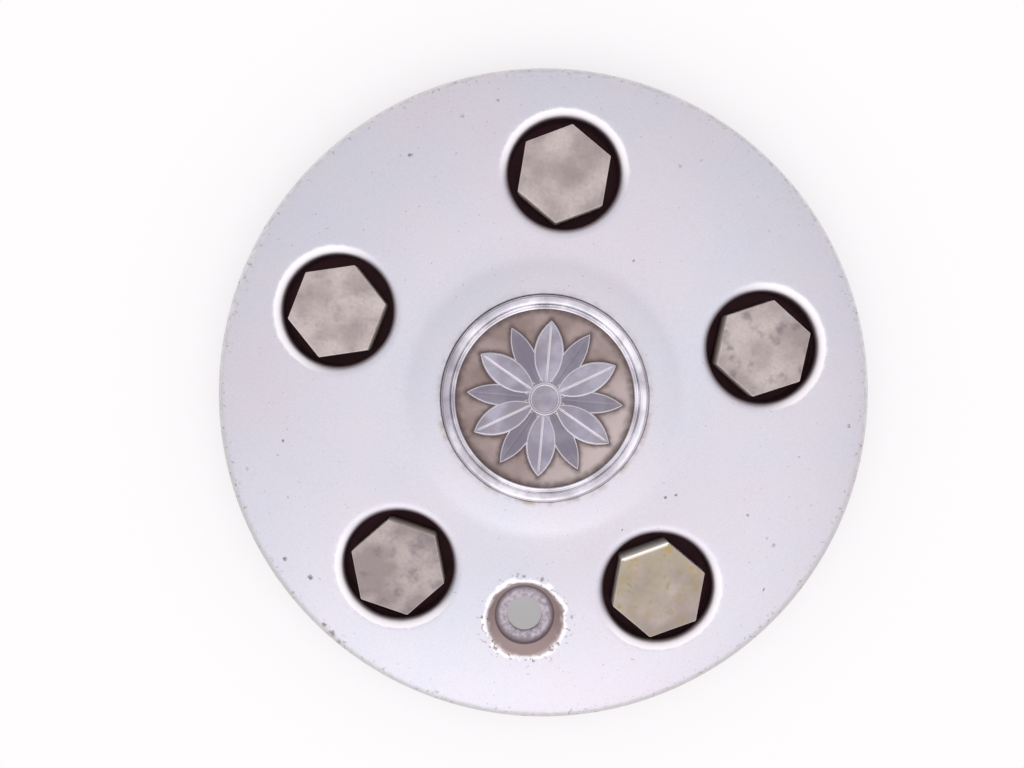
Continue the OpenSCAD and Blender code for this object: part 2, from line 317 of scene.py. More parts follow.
# %% [markdown]
# What each kind of hole adds is its own tube. A well's wall ends in a shoulder, and behind it
# the tube steps out to the sleeve that the cap's flange turns in. The cup ends in a floor with
# a hole for the hook.
# %% Wells and cup
well_tube = np.array([
    (WELL_R, WALL_FOOT_Z),
    (WELL_R, SHOULDER_Z),
    (SLEEVE_R, SHOULDER_Z),
    (SLEEVE_R, 5.0),
    (SLEEVE_R, 0.0),
    (SLEEVE_OUT_R, 0.0),
    (SLEEVE_OUT_R, 8.0),
])
puller_floor_back = PULLER_FLOOR_Z - PULLER_WALL
puller_tube = np.concatenate([
    arc((PULLER_FLOOR_R - PULLER_FILLET, PULLER_FLOOR_Z + PULLER_FILLET), PULLER_FILLET, 0, -90, 4),
    [
        (PULLER_HOLE_R + PULLER_EDGE, PULLER_FLOOR_Z),
        (PULLER_HOLE_R, PULLER_FLOOR_Z - PULLER_EDGE),
        (PULLER_HOLE_R, puller_floor_back),
        (PULLER_R + PULLER_WALL, puller_floor_back),
    ],
])
hole_grids = [
    (around_hole(angle, lip_of(WELL_R, LIP_ROUND), well_tube, SLEEVE_OUT_R), True)
    for angle in BOLT_ANGLES
]
hole_grids.append((
    around_hole(PULLER_ANGLE, lip_of(PULLER_R, PULLER_ROUND), puller_tube, PULLER_R + PULLER_WALL),
    True,
))
print(f"{len(hole_grids)} sheets of {hole_grids[0][0].shape[0]} loops")

# %% [markdown]
# The rest of the cover is turned: the seat of the badge and the boss inside the ring of holes,
# and the rim and its skirt outside it. Their columns stand a degree apart, as the points of the
# sectors do, so the two skins share their edges. A mould's edges are never quite sharp, so the
# badge's seat and the foot of the skirt get a rounding of a few tenths.
# %% The middle and the rim
SEAT_R = STATIONS[0, 0]
SEAT_DEPTH = 1.8
SEAT_Z = FACE_TOP - SEAT_DEPTH
SEAT_BACK = SEAT_Z - WALL
HUB_RING_R = SEAT_R + WALL
HUB_RING_Z = 5.0
RIB_T = 1.6
RIB_Z = 9.0
RIM_ROUND = 2.6
RIM_SLOPE = 15
SKIRT_H = 7.5
CORNER_IN, CORNER_DOWN = 1.0, 1.5
EDGE = 0.35
boss = np.linspace(SEAT_R + EDGE, INNER_R, 22)
middle = np.concatenate([
    [(0, SEAT_Z), (SEAT_R / 2, SEAT_Z), (SEAT_R - EDGE, SEAT_Z), (SEAT_R, SEAT_Z)],
    arc((SEAT_R + EDGE, face_height(SEAT_R + EDGE) - EDGE), EDGE, 180, 94, 4),
    np.stack([boss, face_height(boss)], -1),
])
hub_back = np.linspace(INNER_R, HUB_RING_R, 8)
middle_back = np.concatenate([
    np.stack([hub_back, face_height(hub_back) - WALL], -1),
    [
        (HUB_RING_R, HUB_RING_Z),
        (HUB_RING_R - RIB_T, HUB_RING_Z),
        (HUB_RING_R - RIB_T, SEAT_BACK),
        (HUB_RING_R / 2, SEAT_BACK),
        (0, SEAT_BACK),
    ],
])
shelf = np.linspace(OUTER_R, STATIONS[-1, 0], 8)
rim_z = face_height(shelf[-1]) - RIM_ROUND * np.cos(np.radians(RIM_SLOPE))
skirt_z = rim_z - SKIRT_H
inside_r = COVER_R - WALL
rim = np.concatenate([
    np.stack([shelf, face_height(shelf)], -1),
    arc((COVER_R - RIM_ROUND, rim_z), RIM_ROUND, 90 - RIM_SLOPE, 0, 10)[1:],
    arc((COVER_R - EDGE, skirt_z + EDGE), EDGE, 0, -90, 3),
    arc((inside_r + EDGE, skirt_z + EDGE), EDGE, -90, -180, 3),
    [
        (inside_r, face_height(inside_r) - WALL - CORNER_DOWN),
        (inside_r - CORNER_IN, face_height(inside_r) - WALL),
        (OUTER_R, face_height(OUTER_R) - WALL),
    ],
])
turned_grids = [(revolve(middle), True), (revolve(middle_back), True), (revolve(rim), True)]
print(f"skirt ends {skirt_z:.2f} mm above the wheel, seat at {SEAT_Z:.2f} mm")

# %% [markdown]
# Behind the face stand the parts that nobody sees on the car: ribs that stiffen it, and nubs
# that the flange of each bolt cap snaps past. They are closed blocks, joined to the skin by a
# Boolean, because their corners really are plain intersections. A block is a loop of four or
# more points carried along a path, with its two ends drawn together so that they close.
# %% Ribs, nubs and slots
NUB_R, NUB_TOP, NUB_H, NUB_HALF_ARC = 15.3, 8.271, 1.6, 12
SLOT_HALF, SLOT_LOW, SLOT_HIGH, SLOT_REACH = 1.3, -1.0, 9.0, 20.0
hub_mid = HUB_RING_R - RIB_T / 2
sleeve_mid = (SLEEVE_R + SLEEVE_OUT_R) / 2
rim_mid = COVER_R - WALL / 2
cup_mid = PULLER_R + PULLER_WALL / 2


def block(loops):
    """Closed block from (steps, corners, 3) loops: an end loop is drawn to its own middle line."""
    first, last = loops[:1].mean(1, keepdims=True), loops[-1:].mean(1, keepdims=True)
    spread = np.ones_like(loops[:1])
    return np.concatenate([first * spread, loops, last * spread])


def turned(points, degrees):
    """Points turned about the vertical axis through the middle."""
    c, s = heading(degrees)
    x, y, z = np.moveaxis(points, -1, 0)
    return np.stack([x * c - y * s, x * s + y * c, z], -1)


def rib(angle, first, last):
    """A plate under the face: its lower edge is level, its upper edge runs inside the wall."""
    x = np.linspace(first, last, 16)
    high = face_height(x) - WALL / 2
    sides = np.array([-1, -1, 1, 1]) * RIB_T / 2
    z = np.stack([0 * x + RIB_Z, high, high, 0 * x + RIB_Z], 1)
    loops = np.stack([x[:, None] + 0 * z, sides + 0 * z, z], -1)
    return block(turned(loops, angle)), True


def nub(angle, turn):
    """A tapered nub inside a sleeve: its section is carried along a short arc round the bolt."""
    nub_back = NUB_TOP - NUB_H
    section = np.array([
        (NUB_R, NUB_TOP), (sleeve_mid, NUB_TOP), (sleeve_mid, nub_back), (SLEEVE_R, nub_back),
        (NUB_R, NUB_TOP - NUB_H / 2),
    ])
    way = heading(turn + np.linspace(-NUB_HALF_ARC, NUB_HALF_ARC, 9))
    xy = section[:, :1] * way[:, None, :] + [BOLT_R, 0]
    z = np.broadcast_to(section[:, 1], xy.shape[:2])
    return block(turned(np.concatenate([xy, z[..., None]], -1), angle)), True


def slot_cutter(angle, turn):
    """A bar across a sleeve: where it crosses the wall, the sleeve is slotted so that it springs."""
    x = np.array([-SLOT_REACH, SLOT_REACH])
    side = np.array([-SLOT_HALF, SLOT_HALF, SLOT_HALF, -SLOT_HALF])
    z = np.array([SLOT_LOW, SLOT_LOW, SLOT_HIGH, SLOT_HIGH])
    loops = np.stack(np.broadcast_arrays(x[:, None], side, z), -1)
    return block(turned(turned(loops, turn) + [BOLT_R, 0, 0], angle)), True


ribs = []
for angle in BOLT_ANGLES:
    ribs.append(rib(angle, hub_mid, BOLT_R - sleeve_mid))
    ribs.append(rib(angle, BOLT_R + sleeve_mid, rim_mid))
    if angle + 36 != PULLER_ANGLE:
        ribs.append(rib(angle + 36, hub_mid, rim_mid))
ribs.append(rib(PULLER_ANGLE, hub_mid, BOLT_R - cup_mid))
ribs.append(rib(PULLER_ANGLE, BOLT_R + cup_mid, rim_mid))
nubs = [nub(angle, turn) for angle in BOLT_ANGLES for turn in (0, 90, 180, 270)]
cutters = [slot_cutter(angle, turn) for angle in BOLT_ANGLES for turn in (45, 135)]
print(f"{len(ribs)} ribs, {len(nubs)} nubs, {2 * len(cutters)} slots")

# %% [markdown]
# The blocks are joined and the slots cut by Boolean modifiers, which are then baked into the
# mesh so that nothing live is left on the piece.
# %% Join the cover
def bake(piece):
    """Replaces a piece's mesh by what its modifiers make of it, and drops them."""
    graph = bpy.context.evaluated_depsgraph_get()
    mesh = bpy.data.meshes.new_from_object(piece.evaluated_get(graph), depsgraph=graph)
    piece.modifiers.clear()
    piece.data = mesh
    mesh.name = piece.name


cover = make_piece("cover_moulding", turned_grids + hole_grids)
for name, grids, operation in (("ribs", ribs + nubs, "UNION"), ("slots", cutters, "DIFFERENCE")):
    tool = make_piece(name, grids)
    step = cover.modifiers.new(name, "BOOLEAN")
    step.operation = operation
    step.solver = "EXACT"
    step.object = tool
    bake(cover)
    bpy.data.objects.remove(tool)
shade(cover.data, SHARP)
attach(cover, "cover")
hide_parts("cover")
print(f"cover joined: {len(cover.data.polygons)} faces")

# %% [markdown]
# A bolt cap is a hexagonal thimble on a round flange. Its outline is one function of the
# direction: the distance to a flat, and near a corner the distance to the small circle that
# rounds it. The same function draws the outside, the bevel and the socket, so one revolve-like
# grid holds the whole cap, with directions packed closer where the corners are.
# %% The hexagonal outline
CAP_FLATS = 22.4
CAP_CORNER = 0.4
CAP_BEVEL = 0.28
CAP_CEILING = CAP_TOP - 2.0
SOCKET_FLATS, SOCKET_CORNER = 19.3, 0.3
FLANGE_TOP = CAP_TOP - 8.7
FLANGE_BACK = FLANGE_TOP - 1.8
FLANGE_EDGE = 0.3
GRIP_PLACE, GRIP_R = 10.05, 0.6
HALF_FLAT = (0, 1, 2, 2.7, 3.2, 6, 9, 12, 15, 18, 21, 24, 26.5, 28.4, 29.1, 29.5, 29.8, 30)
CAP_TURNS = (25.4, 13.3, 45.8, 24.9, 23.0)  # degrees that each cap stands turned by

half = np.array(HALF_FLAT)
flat = np.concatenate([-half[:0:-1], half[:-1]])
DIRECTIONS = (np.arange(6)[:, None] * 60 + 30 + flat).reshape(-1)
FROM_FLAT = np.tile(flat, 6)


def hexagon(flats, corner):
    """Distance from the axis to a rounded hexagon in every direction: half the width over the
    cosine of the angle from the flat, or the far side of the circle that rounds the corner."""
    side = flats / 2
    off = np.radians(30 - np.abs(FROM_FLAT))
    centre = (side - corner) / np.cos(np.radians(30))
    on_circle = centre * np.cos(off) + np.sqrt(np.maximum(corner**2 - (centre * np.sin(off))**2, 0))
    starts = np.degrees(np.arctan((side - corner) * np.tan(np.radians(30)) / side))
    on_flat = side / np.cos(np.radians(FROM_FLAT))
    return np.where(np.abs(FROM_FLAT) > starts, on_circle, on_flat)


def socket():
    """The socket's wall: a hexagon, and on every other flat the near side of a slim round rib."""
    wall = hexagon(SOCKET_FLATS, SOCKET_CORNER)
    off = np.radians(FROM_FLAT)
    inside = GRIP_R**2 - (GRIP_PLACE * np.sin(off))**2
    rib_face = GRIP_PLACE * np.cos(off) - np.sqrt(np.maximum(inside, 0))
    gripping = (inside > 0) & (np.repeat(np.arange(6), len(flat)) % 2 == 0)
    return np.where(gripping, np.minimum(wall, rib_face), wall)


# %% [markdown]
# With that outline a cap is a stack of rings, each with a distance in every direction and a
# height: the flat top, its bevel, the side, the flange, the foot, and the socket back up to its
# ceiling. Each cap is made where its joint is, and rides on the body that the joint turns.
# %% Bolt caps
def bolt_cap(centre, turn):
    """A bolt cap as rows of (distance in every direction, height), from its top to its ceiling."""
    crown = hexagon(CAP_FLATS, CAP_CORNER)
    one = np.ones_like(crown)
    rows = [(crown * share, CAP_TOP) for share in (0, 0.25, 0.5, 0.75, 0.9)]
    inset = hexagon(CAP_FLATS - 2 * CAP_BEVEL, CAP_CORNER)
    rows.append((inset - 0.15, CAP_TOP))
    for turn_down in np.radians((0, 30, 60, 90)):
        out = CAP_BEVEL * (1 - np.sin(turn_down))
        down = CAP_BEVEL * (1 - np.cos(turn_down))
        rows.append((hexagon(CAP_FLATS - 2 * out, CAP_CORNER), CAP_TOP - down))
    rows += [
        (crown, CAP_TOP - 1.5), (crown, CAP_TOP - 4), (crown, FLANGE_TOP),
        (one * (FLANGE_R - FLANGE_EDGE), FLANGE_TOP), (one * FLANGE_R, FLANGE_TOP - FLANGE_EDGE),
        (one * FLANGE_R, FLANGE_BACK + FLANGE_EDGE), (one * (FLANGE_R - FLANGE_EDGE), FLANGE_BACK),
        (crown, FLANGE_BACK), (crown, CAP_FOOT + FLANGE_EDGE), (crown - FLANGE_EDGE, CAP_FOOT),
        (socket(), CAP_FOOT), (socket(), CAP_CEILING), (socket() * 0.5, CAP_CEILING),
        (0 * one, CAP_CEILING),
    ]
    distance = np.array([row for row, level in rows])
    height = np.array([level for row, level in rows])[:, None]
    xy = distance[..., None] * heading(DIRECTIONS + turn) + centre
    return np.concatenate([xy, np.broadcast_to(height, distance.shape)[..., None]], -1)


caps = []
for joint, turn in zip(frame["joints"], CAP_TURNS):
    centre = np.array(joint["pos_m"][:2]) / MM
    piece = make_piece(f"{joint['child']}_moulding", [(bolt_cap(centre, turn), True)])
    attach(piece, joint["child"])
    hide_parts(joint["child"])
    caps.append(piece)

# %% [markdown]
# The badge is a plated moulding: a round plate with a half-round ring at its edge, a hair-fine
# bead inside the ring, and a field that was masked and left matt. It is turned in one section.
# %% The badge's plate
RING_W = 2.7
RING_H = 1.9
BEAD_R = 0.35
BEAD_GAP = 0.35
GROOVE_W, GROOVE_DEPTH = 0.25, 0.3
FIELD_Z = BADGE_TOP - RING_H
FIELD_FILLET = 0.5
ring_crest = RING_W / 2
ring_mid = BADGE_R - ring_crest
ring_z = BADGE_TOP - ring_crest
bead_mid = BADGE_R - RING_W - BEAD_GAP - BEAD_R
field_r = bead_mid - BEAD_R
bead_z = BADGE_TOP - 2 * BEAD_R
groove_z = bead_z - GROOVE_DEPTH
plate_section = np.concatenate([
    [(r, FIELD_Z) for r in np.linspace(0, field_r - FIELD_FILLET, 56)[:-1]],
    arc((field_r - FIELD_FILLET, FIELD_Z + FIELD_FILLET), FIELD_FILLET, -90, 0, 5),
    arc((bead_mid, bead_z), BEAD_R, 180, 0, 8),
    [(bead_mid + BEAD_R, groove_z), (bead_mid + BEAD_R + GROOVE_W, groove_z)],
    arc((ring_mid, ring_z), ring_crest, 162, 0, 16),
    [(BADGE_R, BADGE_BACK + EDGE), (BADGE_R - EDGE, BADGE_BACK), (0, BADGE_BACK)],
])
plate = make_piece("badge_plate_and_ring", [(revolve(plate_section, 240), True)])
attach(plate, "cover")
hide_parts("badge")

# %% [markdown]
# On the field stands a common rosette: six leaves in front, six narrower ones behind, and a
# domed button over their roots. A leaf is the overlap of two circles, which a die cutter can
# grind with one tool. Across it the top is flat and polished, with a bevelled edge that catches
# the light and a fine vein down the middle.
# %% Leaves and button
LEAF_COUNT = 6
LEAF_ROOT_R, LEAF_TIP_R = 3.0, 20.4
LEAF_LENGTH = LEAF_TIP_R - LEAF_ROOT_R
LEAF_SINK = 0.2
LEAF_LEAST = 0.02  # half the width at the very ends
VEIN_W = 0.22
BACK_WIDTH, FRONT_WIDTH = 5.6, 7.8
BACK_RELIEF, FRONT_RELIEF = (0.6, 0.4, 0.1), (1.0, 0.55, 0.25)  # height, bevel and vein
COLLAR_R, COLLAR_H = 5.6, 0.3
BUTTON_R, BUTTON_H, BUTTON_SIDE, BUTTON_RING = 4.3, 1.7, 1.2, 0.45
ACROSS = np.array([0, 0.03, 0.07, 0.12, 0.25, 0.45, 0.65, 0.78, 0.86, 0.91, 0.95, 0.98, 1])


def leaf_half(along, width):
    """Half a leaf's width at a place along it: how far a circle's arc stands over its chord."""
    circle = (LEAF_LENGTH**2 / 4 + width**2 / 4) / width
    return np.sqrt(circle**2 - (along - LEAF_LENGTH / 2)**2) - (circle - width / 2)


def leaf(angle, width, height, bevel, vein):
    """A leaf from root to tip, as wide as its two arcs. Its height rises over the bevel from the
    edge, and dips along the vein."""
    along = (1 - np.cos(np.linspace(0, np.pi, 41))) / 2 * LEAF_LENGTH
    half_width = np.maximum(leaf_half(along, width), LEAF_LEAST)[:, None]
    share = np.concatenate([-ACROSS[:0:-1], ACROSS])
    y = half_width * share
    rise = np.clip(half_width * (1 - np.abs(share)) / bevel, 0, 1)
    smooth = rise * (2 - rise)
    dip = vein * np.exp(-(y / VEIN_W)**2) * np.clip(half_width / 2, 0, 1)
    z = height * (0.25 + 0.75 * smooth) - dip
    x = np.broadcast_to(LEAF_ROOT_R + along[:, None], y.shape)
    top = np.stack([x, y, FIELD_Z + z], -1)
    back = np.stack([x[:, ::-2], y[:, ::-2], np.full_like(y[:, ::-2], FIELD_Z - LEAF_SINK)], -1)
    return block(turned(np.concatenate([top, back], 1), angle)), True


dome_half, dome_h = BUTTON_R - 2 * BUTTON_RING, BUTTON_H - BUTTON_SIDE
dome_r = (dome_half**2 + dome_h**2) / (2 * dome_h)
dome_edge = np.degrees(np.arccos(dome_half / dome_r))
button = np.concatenate([
    arc((0, FIELD_Z + BUTTON_H - dome_r), dome_r, 90, dome_edge, 12),
    arc((BUTTON_R - BUTTON_RING, FIELD_Z + BUTTON_SIDE), BUTTON_RING, 170, 0, 10),
    [(BUTTON_R, FIELD_Z - LEAF_SINK), (0, FIELD_Z - LEAF_SINK)],
])
collar = np.array([
    (0, FIELD_Z + COLLAR_H), (COLLAR_R - COLLAR_H, FIELD_Z + COLLAR_H),
    (COLLAR_R, FIELD_Z), (COLLAR_R, FIELD_Z - LEAF_SINK), (0, FIELD_Z - LEAF_SINK),
])
leaf_step = 360 / LEAF_COUNT
BACK_ANGLES = 90 + (np.arange(LEAF_COUNT) + 0.5) * leaf_step
FRONT_ANGLES = 90 + np.arange(LEAF_COUNT) * leaf_step
leaves = [leaf(angle, BACK_WIDTH, *BACK_RELIEF) for angle in BACK_ANGLES]
leaves += [leaf(angle, FRONT_WIDTH, *FRONT_RELIEF) for angle in FRONT_ANGLES]
centre_grids = [(revolve(button, 96), True), (revolve(collar, 96), True)]
rosette = make_piece("badge_rosette", leaves + centre_grids, sharp=40)
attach(rosette, "cover")
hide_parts("badge")

# %% [markdown]
# A material starts from a colour that is read off the object as it would be on a screen, so one
# function turns such a code to the linear numbers that light is summed in. One more adds any
# node and hands back the output that is wanted. The node used most is Map Range: it takes a
# measure, two limits and the shares at those limits, and eases from one share to the other.
# Patterns are laid out in millimetres of the object's own coordinates, so that a lump of dirt
# has the size of a real one however the picture is framed.
# %% Colours and nodes
EASED = {"interpolation_type": "SMOOTHSTEP"}


def linear(code):
    """A hex colour code as linear light: each channel undone from its screen curve."""
    screen = np.array([int(code[i:i + 2], 16) for i in (0, 2, 4)]) / 255
    light = np.where(screen <= 0.04045, screen / 12.92, ((screen + 0.055) / 1.055)**2.4)
    return (*light.tolist(), 1.0)


def plug(tree, target, sockets):
    """Gives each socket of a node a number, a colour code or another node's output. The sockets
    come in their own order, or by name or number."""
    pairs = sockets.items() if isinstance(sockets, dict) else enumerate(sockets)
    for socket, value in pairs:
        if isinstance(value, bpy.types.NodeSocket):
            tree.links.new(value, target.inputs[socket])
        else:
            target.inputs[socket].default_value = linear(value) if isinstance(value, str) else value


def node(tree, kind, sockets=(), output=0, **settings):
    """Adds a node with its sockets plugged and its settings made, and gives one of its outputs."""
    new = tree.nodes.new("ShaderNode" + kind)
    for name, value in settings.items():
        setattr(new, name, value)
    plug(tree, new, sockets)
    return new.outputs[output]


# %% [markdown]
# Nearly every mark on this object is one of two things. It is a patch, which is noise between
# two of its levels, or it is a coat, which is a colour laid over another where several shares
# agree: a stain lies on the lower side, and near the rim, and where the noise says so.
# %% Patches and coats
def product(tree, share, *others):
    """Shares multiplied one after another."""
    for other in others:
        share = node(tree, "Math", (share, other), operation="MULTIPLY")
    return share


def patches(tree, place, size, detail=2.0, limits=()):
    """Noise whose lumps are about a size across, in millimetres, and eased where limits are given."""
    cloud = node(tree, "TexNoise", {"Vector": place, "Scale": 1 / size, "Detail": detail})
    return node(tree, "MapRange", (cloud, *limits), **EASED) if limits else cloud


def coat(tree, under, over, *shares):
    """One colour laid over another by the product of the shares: under + share (over - under)."""
    share = product(tree, *shares)
    return node(tree, "Mix", {0: share, 6: under, 7: over}, 2, data_type="RGBA")


def start_material(name):
    """An empty material with its tree, its shader, and a place in millimetres."""
    material = bpy.data.materials.new(name)
    material.use_nodes = True
    tree = material.node_tree
    where = node(tree, "TexCoord", (), "Object")
    place = node(tree, "VectorMath", {0: where, "Scale": 1 / MM}, operation="SCALE")
    return material, tree, tree.nodes["Principled BSDF"], place


def dress(piece, *materials):
    """Gives a piece its materials, in order, in place of any that it had."""
    piece.data.materials.clear()
    for material in materials:
        piece.data.materials.append(material)
        print(f"{piece.name}: {material.name}, {len(material.node_tree.nodes)} nodes")


# %% [markdown]
# The cover's finish is metallic wheel paint: fine aluminium flake in a clear binder, sprayed on
# plastic. It reads as a light grey with a little lilac, soft in its shine. Flake is finer than
# a pixel, so it is drawn at half a millimetre. Broad clouds of a cooler and a warmer grey are
# the gun's uneven passes, and pinpricks are dust that was caught under the spray.
# %% Sprayed silver
FLAKE = 0.5
PINPRICK = 0.8
CLOUD = 16.0
CAST = 30.0


def sprayed_silver(tree, place):
    """Two greys by broad clouds and a third by smaller ones, then pale flake and dark pinpricks."""
    cast = patches(tree, place, CAST, 3.0, (0.35, 0.65))
    colour = coat(tree, "CBCED8", "D4CDD5", cast)
    colour = coat(tree, colour, "D3D2D8", patches(tree, place, CLOUD, 4.0))
    flake = patches(tree, place, FLAKE, 1.0, (0.3, 0.7))
    colour = coat(tree, colour, "E8E5EA", flake, 0.22)
    pinprick = patches(tree, place, PINPRICK, 0.0, (0.8, 0.86))
    return coat(tree, colour, "9A949C", pinprick, 0.45), flake


# %% [markdown]
# A few chips go through the paint to the dark primer. Noise alone would scatter them at random,
# so each one has a place and a radius, and noise only frays its edge.
# %% Chips
CHIPS = (  # place across and up the face, and radius
    (-40.4, 60.1, 0.65), (-27.8, 71.5, 0.5), (-18.9, 76.5, 0.4), (-60.2, 39.4, 0.4),
    (29.9, 63.3, 0.4), (35.6, 65.5, 0.35), (20.0, 37.6, 0.3), (-65.1, -49.0, 0.7),
    (-57.9, -53.1, 0.8), (-68.9, -21.1, 0.4), (-77.0, -25.8, 0.45), (-67.5, -17.2, 0.4),
    (81.5, -0.5, 0.5), (68.3, -9.7, 0.35), (56.2, -26.1, 0.35), (64.2, -33.9, 0.5),
    (62.0, -31.9, 0.35), (63.0, -45.9, 0.4), (34.1, -23.1, 0.4), (36.7, -22.6, 0.4),
    (-51.4, -68.4, 1.1), (-49.3, -70.7, 0.9), (-53.4, -66.0, 0.7), (23.4, -32.8, 0.35),
)
FRAY, FRAY_SIZE = 1.4, 0.9
NO_CHIP = 9.0  # a share so far from any chip that it shows nothing


def chipped(tree, place, plan, colour):
    """Primer where the distance from a chip's middle, over its radius, is about 1 or less."""
    lumps = {"Vector": place, "Scale": 1 / FRAY_SIZE, "Detail": 3.0}
    ragged = node(tree, "TexNoise", lumps, "Color")
    wander = node(tree, "VectorMath", (ragged, (0.5, 0.5, 0.5)), operation="SUBTRACT")
    loose = node(tree, "VectorMath", (wander, (FRAY, FRAY, 0.0), plan), operation="MULTIPLY_ADD")
    nearest = NO_CHIP
    for x, y, radius in CHIPS:
        apart = node(tree, "VectorMath", (loose, (x, y, 0.0)), "Value", operation="DISTANCE")
        share = node(tree, "Math", (apart, radius), operation="DIVIDE")
        nearest = node(tree, "Math", (share, nearest), operation="MINIMUM")
    chip = node(tree, "MapRange", (nearest, 0.6, 1.2, 0.85, 0.0), **EASED)
    primer = coat(tree, "6C6468", "BDB6BA", patches(tree, place, 1.6, 1.0, (0.35, 0.6)))
    return coat(tree, colour, primer, chip), chip


# %% [markdown]
# Washing keeps the face clean but not its edges. The rim carries a band that is pale at the top of
# the wheel, which is painted highlight on its rounded edge, and dirty grey at the bottom, and pits get
# denser towards the bottom. Brown dust stays in the seat round the badge. All of this follows the
# radius and the height on the wheel, so both are read first.
# %% Weather, and a painted highlight on the rim
RIM_DIRT = (84.4, 86.6)
RIM_PITS = (82.0, 86.0)
SEAT_DIRT_W = 2.0


def weathered(tree, place, plan, colour):
    """Coats whose shares rise towards the rim or the badge's seat, times noise, times height."""
    radius = node(tree, "VectorMath", (plan,), "Value", operation="LENGTH")
    up = node(tree, "SeparateXYZ", (place,), "Y")
    at_rim = node(tree, "MapRange", (radius, *RIM_DIRT), **EASED)
    low = node(tree, "MapRange", (up, 70.0, -45.0, 0.6, 0.85), **EASED)
    grime = product(tree, at_rim, low, patches(tree, place, 2.2, 5.0, (0.35, 0.62, 0.45, 1.0)))
    # Paler at the top: painted highlight on the rim's edge; greyer lower down: dirt.
    rim_band_highlight_and_dirt = coat(tree, "F2EFEC", "BDBBB3", node(tree, "MapRange", (up, 40.0, -50.0), **EASED))
    colour = coat(tree, colour, rim_band_highlight_and_dirt, grime)
    pitted = node(tree, "MapRange", (radius, *RIM_PITS), **EASED)
    colour = coat(tree, colour, "9A938E", pitted, patches(tree, place, 1.0, 3.0, (0.6, 0.7)), low)
    seat_limits = (SEAT_R + 0.2, SEAT_R + SEAT_DIRT_W, 1.0, 0.0)
    seat = node(tree, "MapRange", (radius, *seat_limits), **EASED)
    washed = node(tree, "MapRange", (up, 25.0, -20.0, 0.3, 0.75), **EASED)
    dust = patches(tree, place, 3.5, 4.0, (0.35, 0.7))
    return coat(tree, colour, "A08C74", seat, washed, dust), grime


# %% [markdown]
# The cover is pulled off with a hook, and each pull takes some paint from the cup. Its mouth has
# a white ring with a ragged edge, which is a painted highlight on the paint left on its rounding;
# specks lie round it, and inside it the bare plastic shows: a brown cone, paler on its near side,
# down to a mottled floor that is darker towards its edge, where painted shade lies in the corner.
# %% The cup's wear, painted highlight and shade
MOUTH_HIGHLIGHT_R = (10.6, 11.7)
BARE_R = (9.6, 10.5)
SPECKLED_R = (14.2, 11.4)
FLOOR_CORNER_SHADE_R = (6.2, 7.9)
CONE_FOOT_Z = (PULLER_FLOOR_Z + 0.9, PULLER_FLOOR_Z + 0.3)
puller = BOLT_R * heading(PULLER_ANGLE)


def hooked_cup(tree, place, from_cup, colour):
    """Coats by the distance from the cup's axis, which noise makes longer or shorter."""
    uneven = patches(tree, place, 3.0, 2.0, (0.3, 0.7, -0.6, 0.6))
    worn = node(tree, "Math", (from_cup, uneven), operation="ADD")
    # Painted highlight: a white ring on the rounding of the cup's mouth.
    mouth_highlight = node(tree, "MapRange", (worn, *MOUTH_HIGHLIGHT_R, 0.9, 0.0), **EASED)
    colour = coat(tree, colour, "FDFAF9", mouth_highlight)
    specks = node(tree, "MapRange", (from_cup, *SPECKLED_R, 0.0, 0.9), **EASED)
    colour = coat(tree, colour, "8F8A86", specks, patches(tree, place, 1.3, 3.0, (0.58, 0.66)))

    up = node(tree, "SeparateXYZ", (place,), "Y")
    near_edge = node(tree, "MapRange", (up, puller[1] + 2, puller[1] - 9, 0.0, 0.75), **EASED)
    cone = coat(tree, "8E7B79", "B5A09C", patches(tree, place, 2.2, 4.0))
    cone = coat(tree, cone, "D9C4BF", near_edge)
    floor = coat(tree, "A59BA1", "D3CCD6", patches(tree, place, 1.1, 5.0, (0.3, 0.7)))
    # Painted shade: the floor is darker towards its edge, where it meets the cone.
    floor_corner_shade = node(tree, "MapRange", (from_cup, *FLOOR_CORNER_SHADE_R), **EASED)
    floor = coat(tree, floor, "6A5C60", floor_corner_shade)
    high = node(tree, "SeparateXYZ", (place,), "Z")
    deep = node(tree, "MapRange", (high, *CONE_FOOT_Z), **EASED)
    bare = node(tree, "MapRange", (worn, *BARE_R, 1.0, 0.0), **EASED)
    return coat(tree, colour, coat(tree, cone, floor, deep), bare), bare


# %% [markdown]
# The lips of the wells are pale on the side away from the badge: a painted highlight on their
# rounding, with some rubbing. Further down the spray thins out and the dark plastic takes over, and
# on that same side the spray reaches deeper; on the side nearest the badge the dark comes sooner,
# which is painted shade. Both follow how deep a point lies under the face, which each point of the
# mesh keeps as a number. Another number tells on which side of its well the point lies.
# %% The lips' painted highlight and shade
LIP_FULL = (0.0, 0.14)
LIP_ENDS = (1.8, 0.5)
CLEAR_OF_CUP = (12.0, 13.0)


